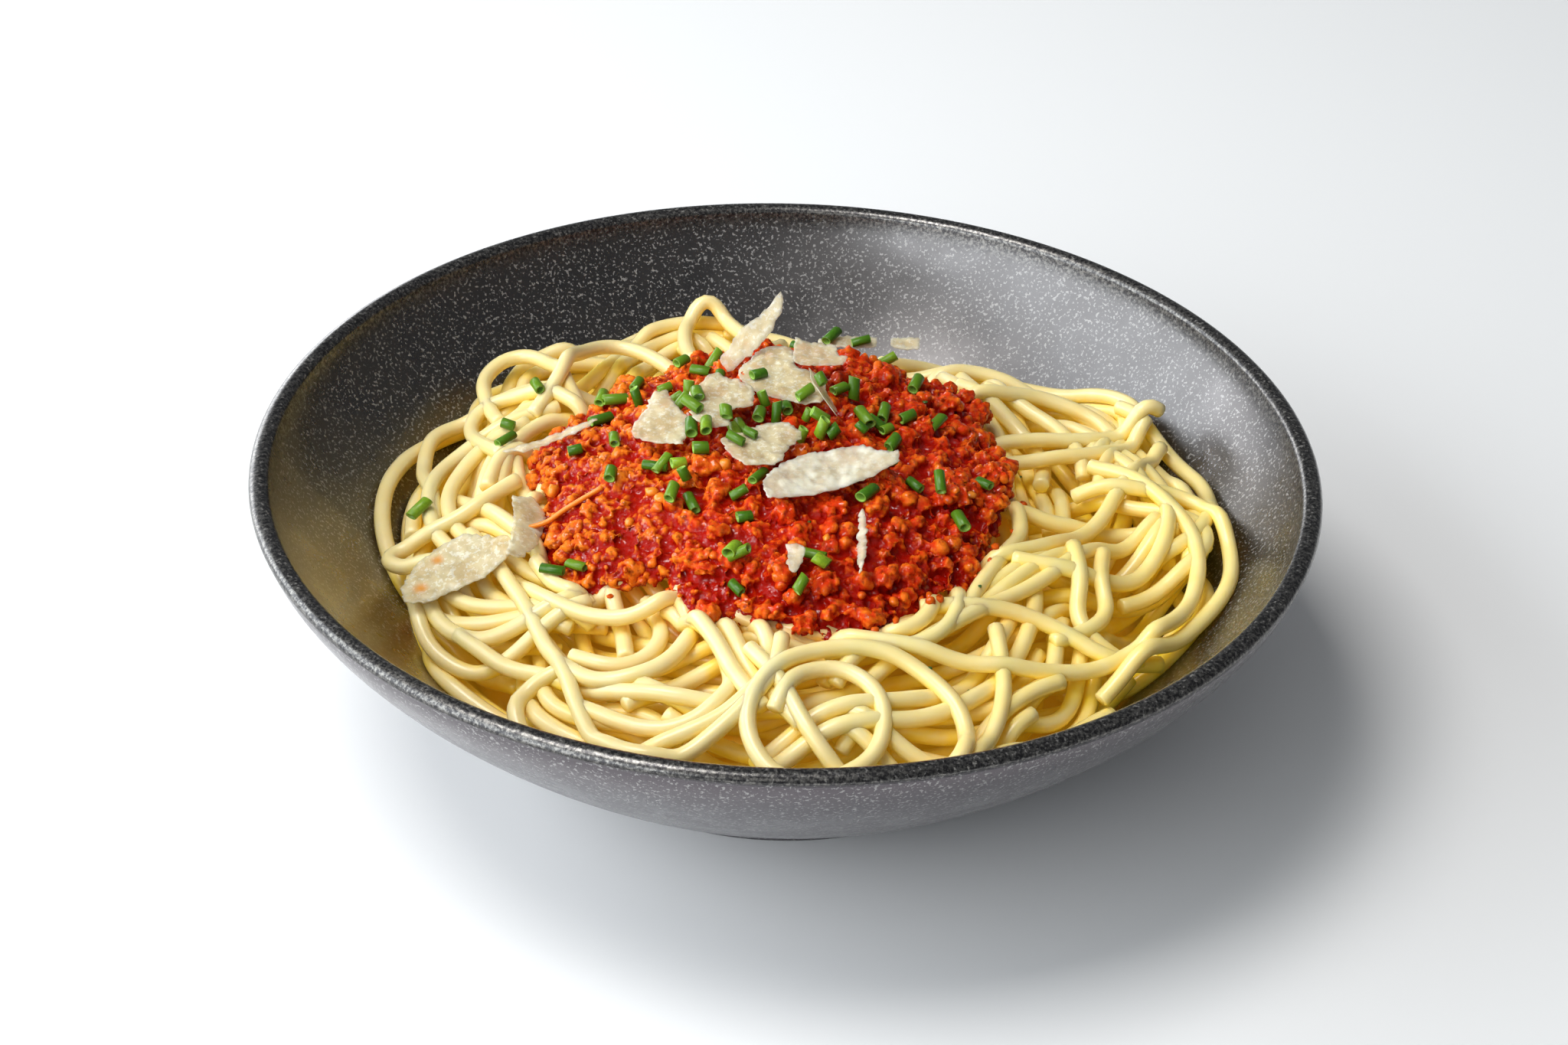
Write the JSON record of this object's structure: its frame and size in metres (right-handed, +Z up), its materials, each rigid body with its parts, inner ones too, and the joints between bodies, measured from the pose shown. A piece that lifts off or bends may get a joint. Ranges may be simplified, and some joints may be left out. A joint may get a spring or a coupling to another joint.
{
  "type": "bowl of spaghetti bolognese",
  "caption": "Wide stoneware bowl of spaghetti under a mound of meat sauce, topped with hard cheese shavings and cut chives.",
  "frame": {"origin": "on the bowl's axis, in the plane its foot ring stands on", "axes": "+Z up along the bowl's axis; the diner sits at -Y, with +X to the diner's right"},
  "size_m": [0.21, 0.21, 0.0757],
  "materials": {
    "glaze": "charcoal speckled satin glaze",
    "pasta": "moist, softly glossy",
    "sauce": "wet, glossy, crumbly",
    "cheese": "satin, translucent, grainy",
    "chives": "satin, fresh cut"
  },
  "bodies": {
    "root": {"bowl": "glaze", "spaghetti_heap": "pasta", "meat_sauce": "sauce", "shaving_back_far": "cheese", "shaving_back_right": "cheese", "shaving_wide": "cheese", "shaving_blade": "cheese", "shaving_flap": "cheese", "shaving_curl": "cheese", "shaving_corner": "cheese", "shaving_fold": "cheese", "shaving_middle": "cheese", "shaving_long": "cheese", "shaving_sliver": "cheese", "shaving_chip": "cheese", "shaving_slip": "cheese", "shaving_left": "cheese", "shaving_scroll": "cheese"}
  },
  "joints": []
}
